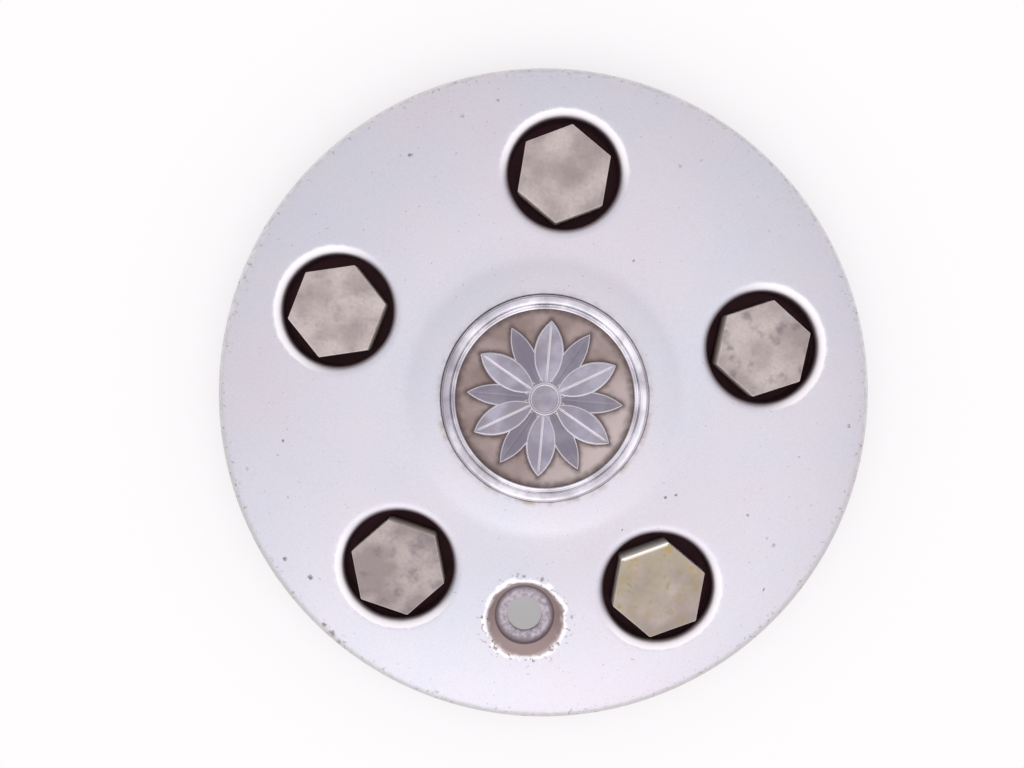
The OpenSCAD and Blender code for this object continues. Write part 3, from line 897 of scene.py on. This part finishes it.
def lip_highlight_and_shade(tree, place, from_cup, colour):
    """A pale coat between two depths, painted highlight and rubbing, and a dark coat by (depth -
    begins) / reaches.
    """
    depth = node(tree, "Attribute", (), "Fac", attribute_name="depth")
    outer = node(tree, "Attribute", (), "Fac", attribute_name="outer")
    uneven = patches(tree, place, 1.8, 2.0, (0.3, 0.7, -0.02, 0.02))
    depth = node(tree, "Math", (depth, uneven), operation="ADD")
    in_well = node(tree, "MapRange", (from_cup, *CLEAR_OF_CUP), **EASED)
    under_edge = node(tree, "MapRange", (depth, *LIP_FULL), **EASED)
    above_end = node(tree, "MapRange", (depth, *LIP_ENDS), **EASED)
    outer_side = node(tree, "MapRange", (outer, -0.45, 0.45), **EASED)
    rub_and_highlight = product(tree, under_edge, above_end, outer_side, in_well)
    # Painted highlight, with some rubbing: the pale coat on the lips' side away from the badge.
    colour = coat(tree, colour, "FDFAFC", rub_and_highlight)
    # On the side nearest the badge the dark starts sooner: painted shade.
    begins = node(tree, "MapRange", (outer, -0.6, 0.6, 0.3, 0.25), **EASED)
    reaches = node(tree, "MapRange", (outer, -0.6, 0.6, 1.7, 2.8), **EASED)
    past = node(tree, "Math", (depth, begins), operation="SUBTRACT")
    thin_spray_and_shade = node(tree, "Math", (past, reaches), operation="DIVIDE")
    thin_spray_and_shade = node(tree, "MapRange", (thin_spray_and_shade, 0.0, 1.0), **EASED)
    return coat(tree, colour, "54434A", thin_spray_and_shade, in_well), rub_and_highlight


# %% [markdown]
# The coats are laid one over another in the order in which they came about. Damage ends the
# metal: whatever has chipped, flaked or caught dirt is rougher than paint and doesn't glint, and so
# is the lips' pale coat, which is painted highlight as well as rubbing.
# %% Silver paint
def silver_paint():
    """The sprayed colour under its coats. Damage is the largest of their shares, and from 0 to 1
    it turns a soft metal into a rough dull surface that lies a little lower."""
    material, tree, shader, place = start_material("silver_metallic_paint")
    across = node(tree, "SeparateXYZ", (place,), "X")
    up = node(tree, "SeparateXYZ", (place,), "Y")
    plan = node(tree, "CombineXYZ", (across, up))
    cup_axis = (puller[0], puller[1], 0.0)
    from_cup = node(tree, "VectorMath", (plan, cup_axis), "Value", operation="DISTANCE")
    colour, flake = sprayed_silver(tree, place)
    colour, chip = chipped(tree, place, plan, colour)
    colour, grime = weathered(tree, place, plan, colour)
    colour, bare = hooked_cup(tree, place, from_cup, colour)
    colour, rub_and_highlight = lip_highlight_and_shade(tree, place, from_cup, colour)
    damage = chip
    for share in (grime, bare, rub_and_highlight):
        damage = node(tree, "Math", (damage, share), operation="MAXIMUM")
    height = node(tree, "Math", (product(tree, flake, 0.12), damage), operation="SUBTRACT")
    plug(tree, shader, {
        "Base Color": colour,
        "Roughness": node(tree, "MapRange", (damage, 0.0, 1.0, 0.4, 0.75), **EASED),
        "Metallic": node(tree, "MapRange", (damage, 0.0, 0.8, 0.85, 0.0), **EASED),
        "Coat Weight": 0.15,
        "Coat Roughness": 0.25,
        "Normal": node(tree, "Bump", {"Height": height, "Distance": 0.06 * MM}),
    })
    return material


# %% [markdown]
# The back of the moulding was never sprayed, and neither were the sleeves behind the wells. They
# are dark plastic with the dull, slightly brown look of years of brake dust, and darker still as
# painted shade for the deep wells. A second material on some of the faces is simpler than a mask
# here, because the paint ends at real edges.
# %% Bare plastic
def bare_plastic():
    """Two browns by cloudy noise, rough and with little shine."""
    material, tree, shader, place = start_material("unpainted_moulded_plastic")
    grain = patches(tree, place, 0.6)
    plug(tree, shader, {
        # Darker than the bare plastic seen in the cup: painted shade for the deep wells.
        "Base Color": coat(tree, "4A3038", "62464F", patches(tree, place, 5.0, 4.0)),
        "Roughness": 0.7,
        "Specular IOR Level": 0.2,
        "Normal": node(tree, "Bump", {"Height": grain, "Distance": 0.02 * MM}),
    })
    return material


dress(cover, silver_paint(), bare_plastic())

# %% [markdown]
# Two numbers go with each point of the cover. The depth under the face is nothing on the rim,
# where the skirt goes down without being a lip. The other number runs from -1 on the side of a
# well that is nearest the badge to 1 on the side that is furthest from it.
# %% Depth and side of each point
points = points_of(cover.data)
radius = np.hypot(points[:, 0], points[:, 1])
depth = face_height(radius) - points[:, 2]
write_number(cover.data, "depth", np.where(radius > COVER_R - 3, 0, depth))
outer = np.full(len(points), -1.0)
for angle in BOLT_ANGLES:
    from_bolt = points[:, :2] - BOLT_R * heading(angle)
    apart = np.linalg.norm(from_bolt, axis=1)
    outwards = from_bolt @ heading(angle) / np.maximum(apart, 1)
    outer = np.where(apart < SLEEVE_OUT_R, outwards, outer)
write_number(cover.data, "outer", outer)
print(f"depth from {depth.min():.2f} to {depth.max():.2f} mm")

# %% [markdown]
# Spray reaches what can be seen from the front: the face, the wells' walls, the cup, the rim's
# outside and the badge's seat. Every other face lies a wall's thickness under the face or more.
# %% Painted and unpainted faces
centres = of_faces(cover.data, "center") / MM
normals = of_faces(cover.data, "normal")
face_r = np.hypot(centres[:, 0], centres[:, 1])
below = face_height(face_r) - centres[:, 2]
in_cup = np.hypot(centres[:, 0] - puller[0], centres[:, 1] - puller[1]) < PULLER_R + 0.3
outside = (face_r > COVER_R - 0.9) | (face_r < SEAT_R + 0.1) & (normals[:, 2] > 0.5)
from_bolts = [np.hypot(*(centres[:, :2] - BOLT_R * heading(angle)).T) for angle in BOLT_ANGLES]
on_wall = (np.min(from_bolts, 0) < WELL_R + 0.1) & (centres[:, 2] > WALL_FOOT_Z)
unpainted = (below > WALL - 0.05) & ~outside & ~on_wall & ~(in_cup & (normals[:, 2] > -0.1))
cover.data.polygons.foreach_set("material_index", unpainted.astype(np.int32))
print(f"painted faces {np.sum(~unpainted)}, unpainted {np.sum(unpainted)}")

# %% [markdown]
# The bolt caps were moulded in a taupe plastic with a little metal pigment, so they shine
# softly and not at all like the paint. Each one has its own smudges, so the same function makes
# five materials from four shares. Their edges are pale with rubbing and with a painted highlight
# on the bevel. Their sides are pale at the top, which is painted light, and dark further down, with
# dust where no cloth reaches and with painted shade in the narrow gap to the well.
# %% Taupe plastic
SIDE_PAINTED_LIGHT = (0.2, 0.6)
SIDE_DUST_AND_SHADE = (3.5, 8.5)


def taupe_plastic(name, middle, light, smudge, stain, scuff):
    """Two greys by clouds, with smudges and fine specks, and stains and a scuffed side where they
    are asked for. The sides turn pale, as painted light, and then dark, as dust and painted shade,
    by their depth under the top."""
    material, tree, shader, place = start_material(name)
    cloud = patches(tree, place, 9.0, 3.0, (0.3, 0.7, light - 0.35, light + 0.35))
    colour = coat(tree, "978987", "CDC1BC", cloud)
    patch = patches(tree, place, 3.4, 4.0, (0.5, 0.72))
    colour = coat(tree, colour, "7F7678", patch, smudge)
    colour = coat(tree, colour, "8E7F7E", patches(tree, place, 0.9, 3.0, (0.4, 0.75, 0.0, 0.25)))
    if stain:
        colour = stained(tree, place, middle, stain, colour)
    edge = node(tree, "Attribute", (), "Fac", attribute_name="edge")
    # Rubbing, and a painted highlight on the bevel.
    rub_and_highlight = node(tree, "MapRange", (edge, 0.3, 1.0, 0.0, 0.35), **EASED)
    colour = coat(tree, colour, "F3ECE8", rub_and_highlight)
    below = node(tree, "Attribute", (), "Fac", attribute_name="below")
    # Painted light: the top of each side is made pale.
    wall = node(tree, "MapRange", (below, *SIDE_PAINTED_LIGHT, 0.0, 0.85), **EASED)
    colour = coat(tree, colour, "EBDDCE", wall)
    # Dust, and painted shade deep in the gap to the well.
    dust = node(tree, "MapRange", (below, *SIDE_DUST_AND_SHADE), **EASED)
    colour = coat(tree, colour, "4A2E33", dust)
    grain = patches(tree, place, 0.7)
    if scuff:
        scuffed = node(tree, "Attribute", (), "Fac", attribute_name="scuffed")
        colour = coat(tree, colour, "FFFDF0", scuffed, scuff)
    plug(tree, shader, {
        "Base Color": colour,
        "Roughness": node(tree, "MapRange", (patch, 0.0, 1.0, 0.36, 0.55), **EASED),
        "Metallic": node(tree, "MapRange", (wall, 0.0, 0.85, 0.3, 0.0), **EASED),
        "Specular IOR Level": node(tree, "MapRange", (dust, 0.0, 1.0, 0.5, 0.05), **EASED),
        "Normal": node(tree, "Bump", {"Height": grain, "Distance": 0.012 * MM}),
    })
    return material


# %% [markdown]
# The cap at the lower right has yellow-green stains, densest towards its upper left. They are
# three coats of patches, each finer than the one before.
# %% Stains
UPPER_LEFT = (-0.57, 0.82, 0.0)
STAINS = (  # colour, size in millimetres, detail, and the noise's limits
    ("A99D80", 6.0, 3.0, (0.3, 0.65, 0.45, 1.0)),
    ("B5994F", 3.4, 5.0, (0.52, 0.76)),
    ("8F9253", 2.2, 3.0, (0.6, 0.7)),
)


def stained(tree, place, middle, most, colour):
    """Coats of patches by how far a point lies from the cap's middle, towards the upper left."""
    aside = node(tree, "VectorMath", (place, UPPER_LEFT), "Value", operation="DOT_PRODUCT")
    across = node(tree, "Math", (aside, float(middle @ UPPER_LEFT[:2])), operation="SUBTRACT")
    share = node(tree, "MapRange", (across, -9.0, 6.0, 0.3, most), **EASED)
    for code, size, detail, limits in STAINS:
        colour = coat(tree, colour, code, patches(tree, place, size, detail, limits), share)
    return colour


# %% [markdown]
# Each cap's points keep how far they lie below its top, whether they are on the bevel of its
# top edge, and whether they are on the side that is scuffed.
# %% Finish the bolt caps
SCUFFED_SIDE = 114.9  # the way that the scuffed side faces, in degrees
SCUFFED_H = 8.0
# Each cap's lightness is partly wear and partly painted light, for the tilt at which each cap sits in
# its well.
FINISHES = {  # lightness, smudges, stains and scuffs of each bolt cap, from 0 to 1
    "bolt_cap_1": (0.45, 0.15, 0.0, 0.0),
    "bolt_cap_2": (0.6, 0.25, 0.0, 0.0),
    "bolt_cap_3": (0.2, 0.7, 0.0, 0.0),
    "bolt_cap_4": (0.25, 0.1, 0.75, 1.0),
    "bolt_cap_5": (0.45, 0.8, 0.0, 0.0),
}
for piece in caps:
    body = piece["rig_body"]
    points = points_of(piece.data)
    below = CAP_TOP - points[:, 2]
    write_number(piece.data, "below", below)
    centre = (points[:, :2].max(0) + points[:, :2].min(0)) / 2
    out = np.linalg.norm(points[:, :2] - centre, axis=1)
    bevelled = (below < CAP_BEVEL + 0.01) & (out > CAP_FLATS / 2 - CAP_BEVEL - 0.01)
    write_number(piece.data, "edge", bevelled & (below > 0.001))
    from_side = (points[:, :2] - centre) @ heading(SCUFFED_SIDE)
    write_number(piece.data, "scuffed", (from_side > CAP_FLATS / 2 - 0.5) & (below < SCUFFED_H))
    dress(piece, taupe_plastic(f"taupe_plastic_{body[-1]}", centre, *FINISHES[body]))

# %% [markdown]
# The badge is chromium-plated plastic. Plating is a true metal skin: it shows its surroundings,
# and what gives it life is tarnish. Over that lie a pale painted highlight on its slopes, and painted
# shade on its left side and in its low places. One function serves the bright ring and the darker
# rosette, with a clean colour, an amount of tarnish and an amount of painted highlight for each.
# %% Plating
LEFT_SHADE_X = (-21.5, -25.5)
LOW_SHADE_Z = (FIELD_Z + 0.95, FIELD_Z + 0.5)


def plating(name, clean, tarnish, slope_highlight_share):
    """A clean metal under two sizes of tarnish, with painted shade on the left and low down, and a
    pale painted highlight where the normal's upward part falls from 0.98 to 0.8."""
    material, tree, shader, place = start_material(name)
    broad = patches(tree, place, 11.0, 3.0, (0.4, 0.62))
    colour = coat(tree, clean, "7C7685", broad, tarnish)
    patch = patches(tree, place, 4.0, 4.0, (0.42, 0.75))
    colour = coat(tree, colour, "938A8B", patch, tarnish)
    across = node(tree, "SeparateXYZ", (place,), "X")
    # Painted shade on the left side.
    left_shade = node(tree, "MapRange", (across, *LEFT_SHADE_X, 0.0, 0.6), **EASED)
    colour = coat(tree, colour, "7E7484", left_shade)
    high = node(tree, "SeparateXYZ", (place,), "Z")
    # Painted shade low down, where the leaves meet the field.
    low_shade = node(tree, "MapRange", (high, *LOW_SHADE_Z, 0.0, 0.6), **EASED)
    colour = coat(tree, colour, "665F6B", low_shade)
    normal = node(tree, "NewGeometry", (), "Normal")
    level = node(tree, "SeparateXYZ", (normal,), "Z")
    # Painted highlight on the slopes.
    slope_highlight = node(tree, "MapRange", (level, 0.98, 0.8, 0.0, slope_highlight_share), **EASED)
    colour = coat(tree, colour, "F4F1F5", slope_highlight)
    waves = patches(tree, place, 3.0)
    plug(tree, shader, {
        "Base Color": colour,
        "Metallic": node(tree, "MapRange", (slope_highlight, 0.0, 1.0, 1.0, 0.2), **EASED),
        "Roughness": node(tree, "MapRange", (patch, 0.0, 1.0, 0.12, 0.3), **EASED),
        "Normal": node(tree, "Bump", {"Height": waves, "Distance": 0.015 * MM}),
    })
    return material


# %% [markdown]
# The field was left matt. It is a warm grey, paler towards its lower right, which is painted light,
# and darker along the bead and round the leaves, which is grime and painted shade.
# %% The matt field
LOWER_RIGHT = (0.8, -0.6, 0.0)


def matt_field():
    """Two browns by clouds, a pale coat of painted light along one direction, and a dark coat
    of grime and painted shade.
    """
    material, tree, shader, place = start_material("matt_taupe_field")
    colour = coat(tree, "88766F", "A3928D", patches(tree, place, 7.0, 5.0, (0.3, 0.7)))
    aside = node(tree, "VectorMath", (place, LOWER_RIGHT), "Value", operation="DOT_PRODUCT")
    # Painted light: paler towards the lower right.
    lit_lower_right = node(tree, "MapRange", (aside, 0.0, 24.0, 0.0, 0.8), **EASED)
    colour = coat(tree, colour, "CDBFBB", lit_lower_right)
    grime = node(tree, "Attribute", (), "Fac", attribute_name="grime")
    uneven = patches(tree, place, 2.0, 3.0, (0.3, 0.7, -0.1, 0.1))
    grime = node(tree, "Math", (grime, uneven), operation="ADD")
    # Grime and painted shade along the bead and round the leaves.
    dark = node(tree, "MapRange", (grime, 0.1, 0.9, 0.0, 0.85), **EASED)
    grain = patches(tree, place, 0.5)
    plug(tree, shader, {
        "Base Color": coat(tree, colour, "4E3C3B", dark),
        "Roughness": 0.55,
        "Normal": node(tree, "Bump", {"Height": grain, "Distance": 0.03 * MM}),
    })
    return material


# %% [markdown]
# Grime gathers in corners, and shade falls there, and both are painted as one dark coat. How near
# a point of the field is to one is worked out from the same curves that draw the bead and the
# leaves, and is kept with the point.
# %% Grime and painted shade on the field
BEAD_DIRT_SHADE_W, BEAD_DIRT_SHADE = 2.6, 0.75
LEAF_DIRT_SHADE_W = 1.1
FAR = 99.0


def from_leaves(points):
    """Distance in the plan from the nearest leaf: past its width at that place, or past an end."""
    nearest = np.full(len(points), FAR)
    for width, angles in ((BACK_WIDTH, BACK_ANGLES), (FRONT_WIDTH, FRONT_ANGLES)):
        for angle in angles:
            along = points[:, :2] @ heading(angle) - LEAF_ROOT_R
            across = np.abs(points[:, :2] @ heading(angle + 90))
            held = np.clip(along, 0, LEAF_LENGTH)
            beside = np.maximum(across - leaf_half(held, width), 0)
            nearest = np.minimum(nearest, np.hypot(beside, along - held))
    return nearest


points = points_of(plate.data)
from_bead = field_r - np.hypot(points[:, 0], points[:, 1])
beside_bead = BEAD_DIRT_SHADE * np.clip(1 - from_bead / BEAD_DIRT_SHADE_W, 0, 1)
beside_leaf = np.exp(-from_leaves(points) / LEAF_DIRT_SHADE_W)
# The number called grime holds grime and painted shade together.
write_number(plate.data, "grime", np.maximum(beside_bead, beside_leaf))
dress(plate, plating("chromium_plate_on_ring", "EEECF1", 0.45, 0.2), matt_field())
centres = of_faces(plate.data, "center") / MM
on_field = (np.hypot(centres[:, 0], centres[:, 1]) < field_r) & (centres[:, 2] < FIELD_Z + FIELD_FILLET)
on_field &= centres[:, 2] > BADGE_BACK + 0.5
plate.data.polygons.foreach_set("material_index", on_field.astype(np.int32))
# The rosette's clean colour is darker than the ring's: painted shade on the same plating.
dress(rosette, plating("chromium_plate_on_rosette", "ACA9B6", 0.65, 0.8))

# %% [markdown]
# Under the badge lies a disc of double-sided foam tape, which only shows when the badge is off.
# Its solid has the right shape, so it stays and only gets a finish.
# %% Foam
def foam():
    """Two dark greys by fine noise, and no shine."""
    material, tree, shader, place = start_material("adhesive_foam")
    plug(tree, shader, {
        "Base Color": coat(tree, "37363A", "4A494C", patches(tree, place, 1.0)),
        "Roughness": 0.9,
    })
    return material


dress(frame["nodes"]["badge_pad"], foam())

# %% [markdown]
# The cap lies on a pale table in a softly lit room. The table shows as white to the camera and
# in reflections, and near the cap it still takes the cap's shadow: white light is mixed in by
# how far a point lies from the middle.
# %% Table
FLOOR_HALF = 1500.0
FLOOR_DROP = 0.02
SHADOW_R = (60.0, 130.0)


def table():
    """A wide flat sheet just under the plane that the cap rests on."""
    side = np.linspace(-FLOOR_HALF, FLOOR_HALF, 9)
    x, y = np.meshgrid(side, side)
    piece = make_piece("table", [(np.stack([x, y, 0 * x - FLOOR_DROP], -1), False)])
    material, tree, shader, place = start_material("white_table")
    plug(tree, shader, {"Base Color": "F1EFF0", "Roughness": 0.7})
    glow = node(tree, "Emission", {"Color": "FFFDFE", "Strength": 1.0})
    to_camera = node(tree, "LightPath", (), "Is Camera Ray")
    in_mirror = node(tree, "LightPath", (), "Is Glossy Ray")
    seen = node(tree, "Math", (to_camera, in_mirror), operation="MAXIMUM")
    away = node(tree, "VectorMath", (place,), "Value", operation="LENGTH")
    white = node(tree, "MapRange", (away, *SHADOW_R, 0.38, 1.0), **EASED)
    both = node(tree, "MixShader", (product(tree, seen, white), shader.outputs[0], glow))
    plug(tree, tree.nodes["Material Output"], {"Surface": both})
    dress(piece, material)
    piece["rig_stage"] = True


table()

# %% [markdown]
# Most of the light comes from above, less from low down, and some more from beyond the table's
# near edge, which is the picture's lower side. A picture of a real room would do this too, but
# two eased sums are enough for soft light. The camera itself sees plain white.
# %% World
def world():
    """Light by direction: a share of its upward part, plus a share of its part towards the near
    edge."""
    made = bpy.data.worlds.new("soft_room")
    bpy.context.scene.world = made
    made.use_nodes = True
    tree = made.node_tree
    tree.nodes.clear()
    way = node(tree, "TexCoord", (), "Generated")
    up = node(tree, "SeparateXYZ", (way,), "Z")
    over = node(tree, "MapRange", (up, 0.0, 0.55, 0.2, 1.05), **EASED)
    across = node(tree, "SeparateXYZ", (way,), "Y")
    near = node(tree, "MapRange", (across, 0.0, -0.75, 0.0, 0.38), **EASED)
    strength = node(tree, "Math", (over, near), operation="ADD")
    room = node(tree, "Background", {"Color": "F6F3F8", "Strength": strength})
    white = node(tree, "Background", {"Color": "FFFFFF", "Strength": 1.0})
    seen = node(tree, "LightPath", (), "Is Camera Ray")
    both = node(tree, "MixShader", (seen, room, white))
    plug(tree, tree.nodes.new("ShaderNodeOutputWorld"), {"Surface": both})
    print(f"{made.name}: {len(tree.nodes)} nodes")


world()

# %% [markdown]
# Each lamp is a large, weak square panel: the larger it is, the softer its shadow. The first
# stands beyond the near edge and brightens the side of the face that is lowest in the picture.
# The second hangs over the cap and puts some light into the wells.
# %% Lamps
AIM = Vector((0, 0, 0.015))


def lamp(name, place, watts, size):
    """A square panel that looks at the cap's middle."""
    data = bpy.data.lights.new(name, "AREA")
    data.energy = watts
    data.size = size
    lamp_object = bpy.data.objects.new(name, data)
    bpy.context.scene.collection.objects.link(lamp_object)
    lamp_object.location = place
    lamp_object.rotation_euler = (AIM - Vector(place)).to_track_quat("-Z", "Y").to_euler()
    print(f"{name}: {watts} W from {place}")


lamp("near_panel", (-0.1, -1.5, 0.75), 2.5, 1.6)
lamp("over_panel", (0.3, -0.2, 1.3), 1.0, 1.5)

# %% [markdown]
# The camera looks almost straight down, turned a few degrees about its own axis. Its place was
# worked out from the circle of the bolts and the rim, as they are seen in perspective.
# %% Camera
FOCAL = 963 / 1024  # focal length over the picture's width
SENSOR = 36.0
TILT = Vector(np.radians((2.42, 0.28, -4.97)))
EYE = Vector((-8.5, 3.7, 252.7))

turn = Matrix.Rotation(TILT.length, 3, TILT.normalized()).transposed()
camera_data = bpy.data.cameras.new("camera")
camera_data.sensor_width = SENSOR
camera_data.lens = FOCAL * SENSOR
camera_data.clip_start = 0.01
camera_data.clip_end = 20.0
camera = bpy.data.objects.new("camera", camera_data)
bpy.context.scene.collection.objects.link(camera)
eye = (turn @ EYE + Vector((0, 0, CAP_TOP))) * MM
camera.matrix_world = Matrix.Translation(eye) @ turn.to_4x4()
bpy.context.scene.camera = camera
bpy.context.scene.view_settings.view_transform = "Standard"
print("camera at", [round(v / MM, 1) for v in eye])

# %% [markdown]
# Last, the sizes: the box of the solids and the box of the dressed model are printed side by side.
# %% Print the sizes
bounds1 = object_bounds()
boxes = {
    "cad": [list(corner) for corner in bounds0],
    "visual": [list(corner) for corner in bounds1],
}
for name, corners in boxes.items():
    print(name, [[round(v / MM, 2) for v in corner] for corner in corners])
